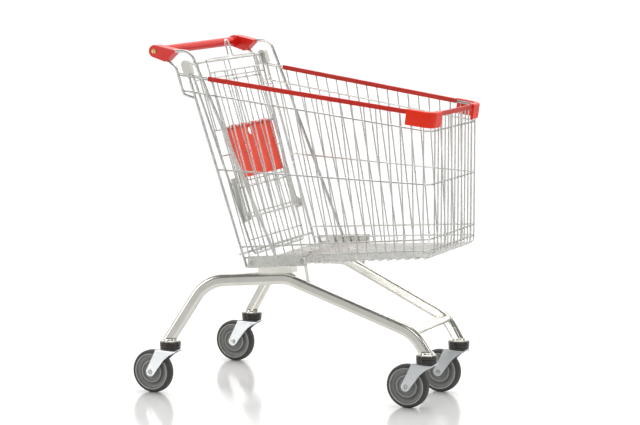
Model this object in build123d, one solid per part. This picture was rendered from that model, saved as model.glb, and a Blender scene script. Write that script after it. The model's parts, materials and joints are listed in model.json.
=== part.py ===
from build123d import *
import math
import os

# A wire shopping trolley on four swivel casters, with a rear gate that swings up into the
# basket so that trolleys nest, and a child seat folded against the gate.
# Millimetres. +X is the front, +Y the trolley's left, +Z up. The origin is on the floor,
# under the middle of the overall length.

# ---- driving dimensions ----
overall_length = 906.0        # rear tyre's back to the front bumpers' face
wheelbase = 744.0             # between the rear and front axles
rear_track = 506.0            # between the rear wheels' centre planes
front_track = 232.6           # between the front wheels' centre planes

wheel_diameter = 125.0
tyre_width = 29.0
tyre_depth = 13.0             # radial thickness of the tread band
wheel_width = 24.0            # width of the moulded wheel centre
hub_radius = 13.0
hub_proud = 1.5               # hub's end beyond the wheel centre's face
hub_bevel = 2.0
wheel_rim = 8.0               # radial thickness of the wheel centre's rim
axle_diameter = 8.0
axle_head_radius = 7.5
axle_head_height = 2.5
axle_nut_height = 6.0
axle_dimple_radius = 4.0      # in the head
axle_end = 2.0                # of thread beyond the nut
tyre_shoulder = 6.0
wheel_web = 5.0               # half thickness of the wheel centre between hub and rim
caster_trail = 57.0           # from the swivel axis back to the axle
fork_sheet = 2.5
fork_side_gap = 3.0           # between the tyre's side and the fork's leg
fork_end_radius = 13.0
fork_crown_gap = 3.0          # between the tyre and the fork's crown
fork_crown_rear = 40.0
fork_crown_front = 26.0
fork_lip = 20.0               # upright front edge of the fork's leg, under the crown
kingpin_diameter = 12.0
kingpin_head_radius = 11.0
kingpin_head_height = 7.0
collar_radius = 31.0
collar_gap = 1.0              # between the fork's crown and the collar
collar_height = 22.5
collar_chamfer = 2.0
socket_radius = 25.0
socket_height = 5.0
running_gap = 0.2             # radial gap of a pin or axle in its hole

tube_height = 36.0            # flat-oval chassis tube
tube_width = 22.0
tube_wall = 1.8
platform_z = 346.0            # tube centreline at the middle of the flat top run
platform_length = 236.0       # rear bend's corner to the knee's corner
platform_rear_gap = 108.0     # rear swivel axis to the rear bend's corner, along X
platform_slope = 4.7          # degrees, rising forwards
rear_leg_angle = 57.7         # degrees above the floor
nose_slope = 21.2             # degrees, falling forwards
front_leg_angle = 56.3
front_foot_setback = 2.0      # front leg's foot behind the swivel axis
rear_bend_radius = 110.0
knee_bend_radius = 80.0
front_bend_radius = 110.0
crossbar_setback = 44.0       # front swivel axis back to the front crossbar
crossbar_depth = 34.0
crossbar_thickness = 18.0
crossbar_drop = 2.0           # below the tubes' centrelines
crossbar_sink = 3.0           # into each tube

basket_front_width = 338.6    # between the side walls at the front wall
basket_rear_width = 486.4     # between the side walls at the rim's rear end
rim_rear_z = 924.5
rim_front_z = 832.1
floor_rear_z = 384.0          # centre of the floor's cross wires at the rear
floor_front_z = 435.0
rim_rear_setback = 148.5      # rear tyre's back to the rim's rear end
floor_rear_setback = 343.5    # rear tyre's back to the floor's rear end
corner_radius = 22.0          # rings and rim at the front corners
wall_bend_radius = 18.0       # where a wall wire turns into the floor
foot_lead = 3.0               # straight length of a wall wire's foot before its bend
side_wire_count = 20
front_wire_count = 13
front_wire_spacing = 24.0
floor_edge_inset = 36.7       # outer long floor wire inside the wall, at the rear
wire_diameter = 4.0
ring_diameter = 5.0
rim_wire_diameter = 4.0
rim_wire_spacing = 5.6
corner_rod_diameter = 8.0
corner_rod_drop = 9.0         # its top end below the gate's hinge axis
weld_depth = 0.4              # how far crossing wires sink into each other
upper_ring_drop = 45.0        # below the rim
mid_ring_rear_z = 656.0
mid_ring_front_z = 641.0
mid_ring_setback = 120.0      # its rear end, forwards of the rim's
low_ring_rise = 55.0          # above the floor wires
base_ring_rise = 24.0
stop_wire_rise = 34.0         # rear wire that the gate rests on, above the floor wires

profile_width = 9.0           # red plastic channel on the rim
profile_height = 13.0
profile_wall = 1.9
profile_corner = 2.0
profile_start = 91.0          # from the rim's rear end
bumper_height = 44.0
bumper_wall = 3.0
bumper_side_length = 69.0
bumper_front_length = 66.0
bumper_radius = 30.0
bumper_proud = 10.5           # face of the bumper beyond the wall's centreline
bumper_lip = 16.0             # depth of the bumper's top lip
bumper_rise = 2.0             # its top above the rim's channels
trim_gap = 0.3                # between the bumper and the wires

plate_setback = 358.5         # rear tyre's back to the side plates that carry the basket
plate_length = 178.0
plate_height = 34.0
plate_drop = 5.0              # below the floor wires
plate_sheet = 3.0
pad_setback = 387.0           # rear tyre's back to the pads on the tubes
pad_length = 106.0
pad_edge = 13.0               # of a pad outside its tube
pad_overlap = 4.0             # under the floor's cross wires
pad_sink = 1.5                # into the tube's rounded top
crossmember_depth = 40.0
crossmember_thickness = 7.0
strut_diameter = 8.0
strut_setback = 8.0           # behind the side plate's front end
strut_top_share = 0.8         # up the side plate
strut_sink = 4.0              # into the tube's rounded top
bolt_share = 0.25             # up the side plate
bolt_across_flats = 13.0
bolt_head_height = 5.0

handle_setback = 78.1         # rear tyre's back to the axis of the handle
handle_z = 987.7
handle_grip_diameter = 26.0
handle_core_diameter = 22.0
handle_core_wall = 1.5
bracket_width = 36.0
bracket_inset = 28.1          # its inner face inside the side wall's plane
bracket_radius = 17.5
bracket_reach = 70.6          # handle axis to the bracket's front corner
bracket_front_rise = 4.2
bracket_heel_reach = 36.2     # handle axis to the bracket's bottom corner
bracket_heel_drop = 29.4
collar_steps = ((16.0, 9.0), (14.5, 7.0))   # radius and length of the bracket's stepped neck
upper_rod_diameter = 9.0
lower_rod_diameter = 8.0
upper_rod_bend = 34.0
upper_rod_foot_share = 0.6    # up the side plate
upper_rod_lead = 54.0         # level run from the handle bracket to the knee
upper_rod_rise = 2.3          # level run above the handle's axis
lower_rod_inset = 18.0        # upper end behind the bracket's bottom corner
lower_rod_drop = 13.5         # upper end below the handle's axis
lower_rod_bends = ((-7.0, 18.5), (15.5, -56.5))   # forwards of and above the rim's rear end
lower_rod_bend_radii = [25.0, 16.0]
lower_rod_end_drop = 67.5     # below the rim, on the corner rod
upper_rod_knee_setback = 188.5   # rear tyre's back to where the upper handle rod turns down
upper_rod_foot_setback = 445.5   # rear tyre's back to where it reaches the side plate
screw_head_radius = 6.5
screw_head_height = 3.0
screw_slot = 1.4
screw_shank = 7.6
bracket_end_wall = 8.0        # the handle's core tube stops this far inside a bracket
bracket_edge_radius = 5.0

hinge_setback = 169.9         # rear tyre's back to the gate hinge axis
hinge_z = 951.5
gate_lean = 17.85             # degrees from vertical, foot forwards
hinge_bar_diameter = 8.0
hinge_bracket_inset = 17.1    # its inner face inside the side wall's plane
hinge_bracket_thickness = 22.0
hinge_pocket_depth = 15.0     # in the bracket, for the hinge bar's end
hinge_bar_engagement = 10.0
hinge_barrel_radius = 12.0
hinge_block_width = 23.0
hinge_block_length = 28.0     # along the corner rod, under the barrel
gate_rod_diameter = 7.0
gate_side_gap = 23.1          # between the gate's side rods and the walls, at the top
gate_taper = 0.1016           # half width lost per millimetre down the gate
gate_length = 567.0           # hinge axis to the bottom rod
leg_opening_top = 49.0        # down the gate from the hinge axis
leg_opening_foot = 200.0
leg_opening_inset = 26.0      # from the gate's side rods
gate_wire_spacing = 28.0
gate_cross_shares = (0.204, 0.433, 0.689, 0.891)   # cross wires, from the leg openings to the foot
gate_foot_rise = 30.0         # upturned ends of the bottom rod
gate_corner_radius = 18.0

seat_offset = 18.0            # seat back in front of the gate
seat_pivot_drop = 463.7       # down the gate from the hinge axis
seat_side_gap = 17.0          # between the seat back's side rods and the pivot strips
seat_rod_diameter = 6.0
seat_top_drop = 35.7
seat_wire_share = 0.4133      # spacing of its upright wires, of its half width
seat_bar_gap = 26.0           # a cross bar below the top bar, and one below the seat panel
pivot_rod_diameter = 6.0
pivot_overhang = 6.0          # of the pivot rod beyond the strips
strip_inset = 4.6             # inside the gate's side rods
strip_sheet = 3.0
strip_length = 118.7          # above the pivot rod
strip_depth = 12.0
strip_ear = 8.0               # round the pivot rod
pivot_cap_diameter = 11.0
pivot_cap_length = 3.5
hook_rise = 40.0              # hook wire's shoulders above the seat back's top bar
hook_loop_rise = 89.0
hook_loop_width = 19.0
hook_spread = 3.0             # each side, at the loop's foot
hook_bend = 8.0
hook_foot_bend = 6.0
hook_top_bend = 0.47          # share of the loop's width
panel_thickness = 4.0
panel_length = 150.0          # below its hinge axis
panel_top_inset = 2.0         # inside the seat back's side rods
panel_foot_inset = 14.0
panel_setback = 3.3           # panel's mid plane behind its hinge axis
panel_top_rise = 4.0          # panel's top edge above its hinge axis, clear of the wires in front
panel_corner_radius = 12.0
finger_hole_diameter = 24.0
finger_hole_drop = 20.0       # below the hinge axis
knuckle_length = 22.0
knuckle_wall = 3.0

# ---- stations that follow from the sizes ----
rear_x = -overall_length / 2
wheel_radius = wheel_diameter / 2
rear_axle_x = rear_x + wheel_radius
front_axle_x = rear_axle_x + wheelbase
rear_swivel_x = rear_axle_x + caster_trail
front_swivel_x = front_axle_x + caster_trail
front_wall_x = overall_length / 2 - bumper_proud
rim_rear_x = rear_x + rim_rear_setback
floor_rear_x = rear_x + floor_rear_setback
plate_rear_x = rear_x + plate_setback
pad_rear_x = rear_x + pad_setback
handle_x = rear_x + handle_setback
upper_rod_knee_x = rear_x + upper_rod_knee_setback
upper_rod_foot_x = rear_x + upper_rod_foot_setback
hinge_x = rear_x + hinge_setback

wall_taper = (basket_rear_width - basket_front_width) / 2 / (front_wall_x - rim_rear_x)
taper_angle = math.atan(wall_taper)
rim_slope = (rim_front_z - rim_rear_z) / (front_wall_x - rim_rear_x)
floor_slope = (floor_front_z - floor_rear_z) / (front_wall_x - floor_rear_x)

lean = math.radians(gate_lean)
wire_radius = wire_diameter / 2
ring_inset = wire_radius + ring_diameter / 2 - weld_depth
fork_crown_z = wheel_diameter + fork_crown_gap + fork_sheet   # top of the crown
socket_z = fork_crown_z + collar_gap + collar_height      # underside of the sockets
tube_foot_z = socket_z + socket_height                    # where the tubes are cut off

CASTERS = {
    "rear_left": (rear_swivel_x, rear_track / 2),
    "rear_right": (rear_swivel_x, -rear_track / 2),
    "front_left": (front_swivel_x, front_track / 2),
    "front_right": (front_swivel_x, -front_track / 2),
}
SIDES = {"left": 1, "right": -1}


def half_width(x):
    """Half the basket's width at a station along its length."""
    return basket_front_width / 2 + wall_taper * (front_wall_x - x)


def rim_z(x):
    return rim_front_z + rim_slope * (x - front_wall_x)


def floor_z(x):
    return floor_front_z + floor_slope * (x - front_wall_x)


def outward(side):
    """Outward normal of a side wall."""
    return Vector(math.sin(taper_angle), side * math.cos(taper_angle), 0)


def on_wall(x, z, side, out=0.0):
    """A point on a side wall at a station and height, moved outwards by out."""
    return Vector(x, side * half_width(x), z) + outward(side) * out


def on_gate(down, y, forward=0.0):
    """A point in the gate's own plane: down from the hinge axis, and forward of the plane."""
    return Vector(
        hinge_x + down * math.sin(lean) + forward * math.cos(lean),
        y,
        hinge_z - down * math.cos(lean) + forward * math.sin(lean),
    )


def gate_half_width(down):
    return half_width(hinge_x) - gate_side_gap - gate_taper * (down - gate_rod_diameter)


bracket_inner_y = half_width(handle_x) - bracket_inset
bracket_outer_y = bracket_inner_y + bracket_width
hinge_bracket_inner_y = half_width(hinge_x) - hinge_bracket_inset
strip_y = gate_half_width(seat_pivot_drop) - strip_inset
pivot_half_length = strip_y + pivot_overhang
seat_half_width = strip_y - seat_side_gap
seat_wire_spacing = seat_wire_share * seat_half_width


def tube_y(x):
    """Distance of a chassis tube's plane from the middle, at a station."""
    share = (x - rear_swivel_x) / (front_swivel_x - rear_swivel_x)
    return rear_track / 2 + share * (front_track - rear_track) / 2


def corner_rod_x(z):
    """The corner rods lie in the gate's plane."""
    return hinge_x + (hinge_z - z) * math.tan(lean)


def crossing(p, p_angle, q, q_angle):
    """Where two lines in the XZ plane meet, each through a point at an angle in degrees."""
    a, b = math.radians(p_angle), math.radians(q_angle)
    dx, dz = q[0] - p[0], q[1] - p[1]
    t = (dx * math.sin(b) - dz * math.cos(b)) / math.sin(b - a)
    return p[0] + t * math.cos(a), p[1] + t * math.sin(a)


def tangent_point(point, centre, radius, turn):
    """Where a line from point touches a circle; turn is 1 or -1 for its two sides."""
    dx, dz = point[0] - centre[0], point[1] - centre[1]
    angle = math.atan2(dz, dx) + turn * math.acos(radius / math.hypot(dx, dz))
    return centre[0] + radius * math.cos(angle), centre[1] + radius * math.sin(angle)


def rod(start, end, diameter):
    """A straight round wire or rod."""
    start, end = Vector(start), Vector(end)
    section = Plane(origin=start, z_dir=end - start) * Circle(diameter / 2)
    return extrude(section, amount=(end - start).length)


def bent_rod(points, radii, diameter):
    """A round wire or rod bent at each inner point of its route."""
    route = FilletPolyline(*points, radius=radii)
    section = Plane(origin=route @ 0, z_dir=route % 0) * Circle(diameter / 2)
    return sweep(section, path=route)


def slab(points, thickness, direction):
    """A flat plate with a straight-sided outline."""
    return extrude(make_face(Polyline(*points, close=True)), amount=thickness, dir=direction)


def save(node, *shapes):
    """Write one node; identical pieces share it as separate solids."""
    solids = [solid for shape in shapes for solid in shape.solids()]
    export_step(solids[0] if len(solids) == 1 else Compound(solids), f"parts/{node}.step")


# ---- casters ----
def caster_fork(x, y):
    leg_y = tyre_width / 2 + fork_side_gap
    axle = (x - caster_trail, wheel_radius)
    rear_top = (x - fork_crown_rear, fork_crown_z)
    front_top = (x + fork_crown_front, fork_crown_z)
    front_low = (x + fork_crown_front - fork_lip / 10, fork_crown_z - fork_lip)
    rear_foot = tangent_point(rear_top, axle, fork_end_radius, 1)
    front_foot = tangent_point(front_low, axle, fork_end_radius, -1)
    outline = [rear_top, front_top, front_low, front_foot, rear_foot]
    fork = Pos((rear_top[0] + front_top[0]) / 2, y, fork_crown_z - fork_sheet / 2) * Box(
        front_top[0] - rear_top[0], 2 * leg_y + fork_sheet, fork_sheet
    )
    for side in (1, -1):
        face_y = y + side * leg_y
        leg = slab([(px, face_y, pz) for px, pz in outline], fork_sheet, (0, side, 0))
        end = extrude(
            Plane(origin=(axle[0], face_y, axle[1]), z_dir=(0, side, 0)) * Circle(fork_end_radius),
            amount=fork_sheet,
        )
        fork += leg + end
    hole = Pos(x, y, fork_crown_z) * Cylinder(kingpin_diameter / 2 + running_gap, 4 * fork_sheet)
    bore = Plane(origin=(axle[0], y, axle[1]), z_dir=(0, 1, 0)) * Cylinder(
        axle_diameter / 2, 4 * leg_y
    )
    return fork - hole - bore


def caster_axle(x, y):
    reach = tyre_width / 2 + fork_side_gap + fork_sheet
    frame = Plane(origin=(x - caster_trail, y, wheel_radius), z_dir=(0, -1 if y > 0 else 1, 0))
    beyond = axle_nut_height + axle_end
    shank = Pos(0, 0, beyond / 2) * Cylinder(axle_diameter / 2, 2 * reach + beyond)
    head = Pos(0, 0, -reach - axle_head_height / 2) * Cylinder(axle_head_radius, axle_head_height)
    head -= Pos(0, 0, -reach - axle_head_height) * Cylinder(axle_dimple_radius, axle_head_height)
    nut = Pos(0, 0, reach) * extrude(RegularPolygon(axle_head_radius, 6), amount=axle_nut_height)
    return frame * (shank + head + nut)


def caster_tyre(x, y):
    frame = Plane(origin=(x - caster_trail, y, wheel_radius), z_dir=(0, 1, 0))
    band = Cylinder(wheel_radius, tyre_width) - Cylinder(wheel_radius - tyre_depth, tyre_width)
    outer_edges = band.edges().filter_by(GeomType.CIRCLE).group_by(SortBy.RADIUS)[-1]
    return frame * fillet(outer_edges, tyre_shoulder)


def caster_wheel(x, y):
    rim = wheel_radius - tyre_depth
    half = wheel_width / 2
    bore = axle_diameter / 2 + running_gap
    outline = Polyline(
        (bore, 0), (bore, half + hub_proud), (hub_radius - hub_bevel, half + hub_proud),
        (hub_radius, half), (hub_radius + hub_bevel, wheel_web), (rim - wheel_rim - 4, wheel_web),
        (rim - wheel_rim, half), (rim, half), (rim, 0), close=True,
    )
    upper = revolve(Plane.XZ * make_face(outline), Axis.Z)
    frame = Plane(origin=(x - caster_trail, y, wheel_radius), z_dir=(0, 1, 0))
    return frame * (upper + mirror(upper, Plane.XY))


def kingpin(x, y):
    head_top = fork_crown_z - fork_sheet - 3 * running_gap
    shank = Pos(x, y, (head_top + tube_foot_z) / 2) * Cylinder(
        kingpin_diameter / 2, tube_foot_z - head_top
    )
    head = Pos(x, y, head_top - kingpin_head_height / 2) * Cylinder(
        kingpin_head_radius, kingpin_head_height
    )
    return shank + head


def swivel_collar(x, y):
    centre_z = socket_z - collar_height / 2
    ring = Cylinder(collar_radius, collar_height)
    ring = chamfer(ring.edges().filter_by(GeomType.CIRCLE), collar_chamfer)
    return Pos(x, y, centre_z) * (ring - Cylinder(kingpin_diameter / 2, collar_height))


def socket(x, y):
    disc = Pos(x, y, socket_z + socket_height / 2) * Cylinder(socket_radius, socket_height)
    return disc - Pos(x, y, socket_z) * Cylinder(kingpin_diameter / 2, 3 * socket_height)


# ---- chassis ----
rear_corner = (
    rear_swivel_x + platform_rear_gap,
    platform_z - platform_length / 2 * math.tan(math.radians(platform_slope)),
)
knee_corner = (
    rear_corner[0] + platform_length,
    rear_corner[1] + platform_length * math.tan(math.radians(platform_slope)),
)
front_foot_corner = crossing(
    knee_corner, -nose_slope, (front_swivel_x - front_foot_setback, tube_foot_z), 180 - front_leg_angle
)


def chassis_tube(side):
    """One flat-oval tube from the rear caster up, along under the basket and down to the front."""
    below = tube_foot_z - tube_width
    rear_foot = crossing(rear_corner, rear_leg_angle, (0, below), 0)
    front_foot = crossing(front_foot_corner, 180 - front_leg_angle, (0, below), 0)
    route = [rear_foot, rear_corner, knee_corner, front_foot_corner, front_foot]
    points = [(x, side * tube_y(x), z) for x, z in route]
    path = FilletPolyline(*points, radius=[rear_bend_radius, knee_bend_radius, front_bend_radius])
    along = path % 0
    across = Vector(along.Y, -along.X, 0)
    section = Plane(origin=path @ 0, x_dir=across.cross(along), z_dir=along) * (
        SlotOverall(tube_height, tube_width)
        - SlotOverall(tube_height - 2 * tube_wall, tube_width - 2 * tube_wall)
    )
    tube = sweep(section, path=path)
    cut = Pos(0, side * rear_track / 2, tube_foot_z - 50) * Box(2 * overall_length, rear_track, 100)
    return tube - cut


def tube_top_z(x):
    """Top of a tube along its flat run."""
    rise = (x - rear_corner[0]) * math.tan(math.radians(platform_slope))
    return rear_corner[1] + rise + tube_height / 2


def front_crossbar():
    x = front_swivel_x - crossbar_setback
    z = knee_corner[1] - (x - knee_corner[0]) * math.tan(math.radians(nose_slope)) - crossbar_drop
    reach = tube_y(x) - tube_width / 2 + crossbar_sink
    section = SlotOverall(crossbar_depth, crossbar_thickness) - SlotOverall(
        crossbar_depth - 2 * tube_wall, crossbar_thickness - 2 * tube_wall
    )
    frame = Plane(origin=(x, -reach, z), x_dir=(1, 0, 0), z_dir=(0, 1, 0))
    return extrude(frame * section, amount=2 * reach)


def support_pad(side):
    """Packer between a tube's flat top and the basket floor."""
    front_x = pad_rear_x + pad_length
    middle = (pad_rear_x + front_x) / 2
    wires_end = half_width(middle) - wall_bend_radius - wire_diameter
    inner_y = min(tube_y(middle) - tube_width / 2 - 1, wires_end - pad_overlap)
    outer_y = tube_y(middle) + tube_width / 2 + pad_edge
    corners = [
        (pad_rear_x, tube_top_z(pad_rear_x) - pad_sink),
        (front_x, tube_top_z(front_x) - pad_sink),
        (front_x, floor_z(front_x) - wire_radius + weld_depth),
        (pad_rear_x, floor_z(pad_rear_x) - wire_radius + weld_depth),
    ]
    return slab([(x, side * inner_y, z) for x, z in corners], outer_y - inner_y, (0, side, 0))


def crossmember():
    x = pad_rear_x + pad_length / 2
    reach = tube_y(x) - tube_width / 2 + 1
    z = floor_z(x) - wire_radius - crossmember_thickness
    tilt = math.degrees(math.atan(floor_slope))
    return Pos(x, 0, z) * Rot(0, -tilt, 0) * Box(crossmember_depth, 2 * reach, crossmember_thickness)


def support_strut(side):
    x = plate_rear_x + plate_length - strut_setback
    out = wire_radius + plate_sheet + strut_diameter / 2 - weld_depth
    top = on_wall(x, floor_z(x) - plate_drop + plate_height * strut_top_share, side, out)
    drop = (x - knee_corner[0]) * math.tan(math.radians(nose_slope))
    foot_z = knee_corner[1] - drop + tube_height / 2 - strut_sink
    return rod((x, side * (tube_y(x) + tube_width / 4), foot_z), top, strut_diameter)


# ---- basket ----
def wall_wire(top, corner, inner):
    """A straight upright, end to end with the foot that turns it in under the floor."""
    top, corner, inner = Vector(top), Vector(corner), Vector(inner)
    turn = math.radians((corner - top).get_angle(inner - corner))
    lead = wall_bend_radius * math.tan(turn / 2) + foot_lead
    join = corner + (top - corner).normalized() * lead
    return [rod(top, join, wire_diameter),
            bent_rod([join, corner, inner], wall_bend_radius, wire_diameter)]


def side_wire(index, side):
    """A side wall's wire from the rim down to the floor."""
    share = index / side_wire_count
    rear_top, rear_foot = corner_rod_x(rim_rear_z), floor_rear_x
    front = front_wall_x - corner_radius
    top_x = rear_top + share * (front - rear_top)
    foot_x = rear_foot + share * (front - rear_foot)
    top = on_wall(top_x, rim_z(top_x) - rim_wire_spacing / 2, side)
    corner = on_wall(foot_x, floor_z(foot_x), side)
    inner = corner - Vector(0, side * (wall_bend_radius + wire_diameter), 0)
    return wall_wire(top, corner, inner)


def floor_cross_wire(index):
    share = index / side_wire_count
    x = floor_rear_x + share * (front_wall_x - corner_radius - floor_rear_x)
    reach = half_width(x) - wall_bend_radius - wire_diameter
    return rod((x, -reach, floor_z(x)), (x, reach, floor_z(x)), wire_diameter)


def front_wire_ys():
    middle = (front_wire_count - 1) / 2
    return [(i - middle) * front_wire_spacing for i in range(front_wire_count)]


floor_fan = (half_width(floor_rear_x) - floor_edge_inset) / front_wire_ys()[-1]


long_wire_rise = wire_diameter - weld_depth               # long floor wires lie on the cross wires


def front_wire(y):
    """A front wall's wire from the rim down to the floor."""
    foot_z = floor_z(front_wall_x) + long_wire_rise
    reach = wall_bend_radius + wire_diameter
    top = (front_wall_x, y, rim_z(front_wall_x) - rim_wire_spacing / 2)
    inner = (front_wall_x - reach, y, foot_z - reach * floor_slope)
    return wall_wire(top, (front_wall_x, y, foot_z), inner)


def floor_long_wire(y):
    start_x = front_wall_x - wall_bend_radius - wire_diameter
    return rod(
        (start_x, y, floor_z(start_x) + long_wire_rise),
        (floor_rear_x, y * floor_fan, floor_z(floor_rear_x) + long_wire_rise),
        wire_diameter,
    )


def hoop_front(front_z, slope, inset, diameter):
    """The front of a ring: across the front wall and round both corners."""
    x = front_wall_x - inset
    back = x - corner_radius - 2
    edge = half_width(x) - inset
    back_edge = half_width(back) - inset
    back_z = front_z - slope * (x - back)
    points = [(back, -back_edge, back_z), (x, -edge, front_z), (x, edge, front_z),
              (back, back_edge, back_z)]
    return bent_rod(points, corner_radius, diameter)


def hoop_side(rear_x_, front_z, slope, side, inset, diameter):
    """A ring's straight side, from the rear to where the front corner starts."""
    x = front_wall_x - inset
    back = x - corner_radius - 2
    back_z = front_z - slope * (x - back)
    rear_z = front_z - slope * (x - rear_x_)
    return rod((rear_x_, side * (half_width(rear_x_) - inset), rear_z),
               (back, side * (half_width(back) - inset), back_z), diameter)


def lower_rod_route():
    """Corners of the lower handle rod, as X and Z."""
    end_z = rim_z(rim_rear_x) - lower_rod_end_drop
    bends = [(rim_rear_x + dx, rim_z(rim_rear_x) + dz) for dx, dz in lower_rod_bends]
    start = (handle_x + bracket_heel_reach - lower_rod_inset, handle_z - lower_rod_drop)
    return [start, *bends, (corner_rod_x(end_z), end_z)]


def lower_rod_x(z):
    """Station of the lower rod's steep run at a height."""
    (x1, z1), (x2, z2) = lower_rod_route()[1:3]
    return x1 + (z - z1) * (x2 - x1) / (z2 - z1)


def rings():
    """Each ring as its front height, slope and rear end."""
    span = front_wall_x - rim_rear_x
    upper_front = rim_front_z - upper_ring_drop
    mid_slope = (mid_ring_front_z - mid_ring_rear_z) / (span - mid_ring_setback)
    low_front = floor_front_z + low_ring_rise
    base_front = floor_front_z + base_ring_rise
    upper_rear = lower_rod_x(rim_rear_z - upper_ring_drop)
    return [
        (upper_front, rim_slope, upper_rear),
        (mid_ring_front_z, mid_slope, corner_rod_x(mid_ring_rear_z)),
        (low_front, floor_slope, corner_rod_x(floor_rear_z + low_ring_rise)),
        (base_front, floor_slope, corner_rod_x(floor_rear_z + base_ring_rise)),
    ]


def corner_rod(side):
    foot_z = floor_z(floor_rear_x)
    top_z = hinge_z - corner_rod_drop
    return rod(on_wall(corner_rod_x(foot_z), foot_z, side), on_wall(corner_rod_x(top_z), top_z, side),
               corner_rod_diameter)


def rear_cross_rod(rise, setback):
    z = floor_z(floor_rear_x) + rise
    x = corner_rod_x(z) - setback
    return rod((x, -half_width(x), z), (x, half_width(x), z), corner_rod_diameter)


def side_plate(side):
    front_x = plate_rear_x + plate_length
    corners = [
        (plate_rear_x, floor_z(plate_rear_x) - plate_drop),
        (front_x, floor_z(front_x) - plate_drop),
        (front_x, floor_z(front_x) - plate_drop + plate_height),
        (plate_rear_x, floor_z(plate_rear_x) - plate_drop + plate_height),
    ]
    inner = wire_radius - weld_depth / 2
    return slab([on_wall(x, z, side, inner) for x, z in corners], plate_sheet, outward(side))


def plate_bolt(side, x):
    face = wire_radius - weld_depth / 2 + plate_sheet
    centre = on_wall(x, floor_z(x) + plate_height * bolt_share, side, face)
    frame = Plane(origin=centre, z_dir=outward(side))
    return frame * extrude(RegularPolygon(bolt_across_flats / 2, 6, major_radius=False),
                           amount=bolt_head_height)


# ---- red rim trim ----
def channel_section():
    outer = fillet(Rectangle(profile_width, profile_height).vertices(), profile_corner)
    groove_width = max(rim_wire_diameter, wire_diameter) + running_gap
    groove_height = profile_height - profile_wall
    return outer - Pos(0, -profile_wall / 2 - 0.5) * Rectangle(groove_width, groove_height + 1)


def side_profile(side):
    start_x = rim_rear_x + profile_start
    end_x = front_wall_x - bumper_side_length
    start = on_wall(start_x, rim_z(start_x), side)
    end = on_wall(end_x, rim_z(end_x), side)
    frame = Plane(origin=start, x_dir=outward(side), z_dir=end - start)
    if frame.y_dir.Z < 0:
        frame = Plane(origin=start, x_dir=outward(side) * -1, z_dir=end - start)
    return extrude(frame * channel_section(), amount=(end - start).length)


def front_profile():
    reach = half_width(front_wall_x) + bumper_proud - bumper_front_length
    frame = Plane(origin=(front_wall_x, reach, rim_front_z), x_dir=(1, 0, 0), z_dir=(0, -1, 0))
    if frame.y_dir.Z < 0:
        frame = Plane(origin=(front_wall_x, reach, rim_front_z), x_dir=(-1, 0, 0), z_dir=(0, -1, 0))
    return extrude(frame * channel_section(), amount=2 * reach)


def bumper_band(side, thickness):
    """Plan of a corner: along the side, round the corner and across the front, as a face."""
    edges = []
    for proud in (bumper_proud, bumper_proud - thickness):
        face_x = front_wall_x + proud
        corner = (face_x, half_width(face_x) + proud / math.cos(taper_angle))
        back_x = front_wall_x + bumper_proud - bumper_side_length
        back = (back_x, half_width(back_x) + proud / math.cos(taper_angle))
        end = (face_x, half_width(front_wall_x) + bumper_proud - bumper_front_length)
        radius = bumper_radius - (bumper_proud - proud)
        edges.append(FilletPolyline(back, corner, end, radius=radius))
    outer, inner = edges
    outline = Curve() + [outer, inner, Line(outer @ 0, inner @ 0), Line(outer @ 1, inner @ 1)]
    face = make_face(outline.edges())
    return face if side > 0 else mirror(face, Plane.XZ)


def bumper(side):
    """Corner bumper: a skirt outside the wires under a lip over the rim."""
    top = rim_front_z + profile_height / 2 + bumper_rise
    tall = 5 * bumper_height
    tilt = math.degrees(math.atan(-rim_slope))
    skirt_band = bumper_band(side, bumper_proud - wire_radius - trim_gap)
    skirt = extrude(Pos(0, 0, top - tall / 2) * skirt_band, tall)
    lip = extrude(Pos(0, 0, top - tall / 2) * bumper_band(side, bumper_lip), tall)

    def layer(height):
        centre = Pos(front_wall_x, 0, top) * Rot(0, tilt, 0) * Pos(0, 0, -height / 2)
        return centre * Box(overall_length, 2 * basket_rear_width, height)

    return (skirt & layer(bumper_height)) + (lip & layer(bumper_wall))


# ---- handle ----
def upper_handle_rod(side):
    out = upper_rod_diameter / 2 + rim_wire_diameter / 2 - weld_depth / 2
    route = [
        (upper_rod_knee_x - upper_rod_lead, handle_z + upper_rod_rise),
        (upper_rod_knee_x, handle_z + upper_rod_rise),
        (upper_rod_foot_x, floor_z(upper_rod_foot_x) + plate_height * upper_rod_foot_share),
    ]
    return bent_rod([on_wall(x, z, side, out) for x, z in route], upper_rod_bend, upper_rod_diameter)


def lower_handle_rod(side):
    points = [on_wall(x, z, side) for x, z in lower_rod_route()]
    return bent_rod(points, lower_rod_bend_radii, lower_rod_diameter)


def handle_core():
    length = 2 * (bracket_outer_y - bracket_end_wall)
    tube = Cylinder(handle_core_diameter / 2, length) - Cylinder(
        handle_core_diameter / 2 - handle_core_wall, length
    )
    return Plane(origin=(handle_x, 0, handle_z), z_dir=(0, 1, 0)) * tube


def neck_end_y():
    return bracket_inner_y - sum(length for _, length in collar_steps)


def handle_grip():
    length = 2 * (neck_end_y() - running_gap)
    sleeve = Cylinder(handle_grip_diameter / 2, length) - Cylinder(handle_core_diameter / 2, length)
    return Plane(origin=(handle_x, 0, handle_z), z_dir=(0, 1, 0)) * sleeve


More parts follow.
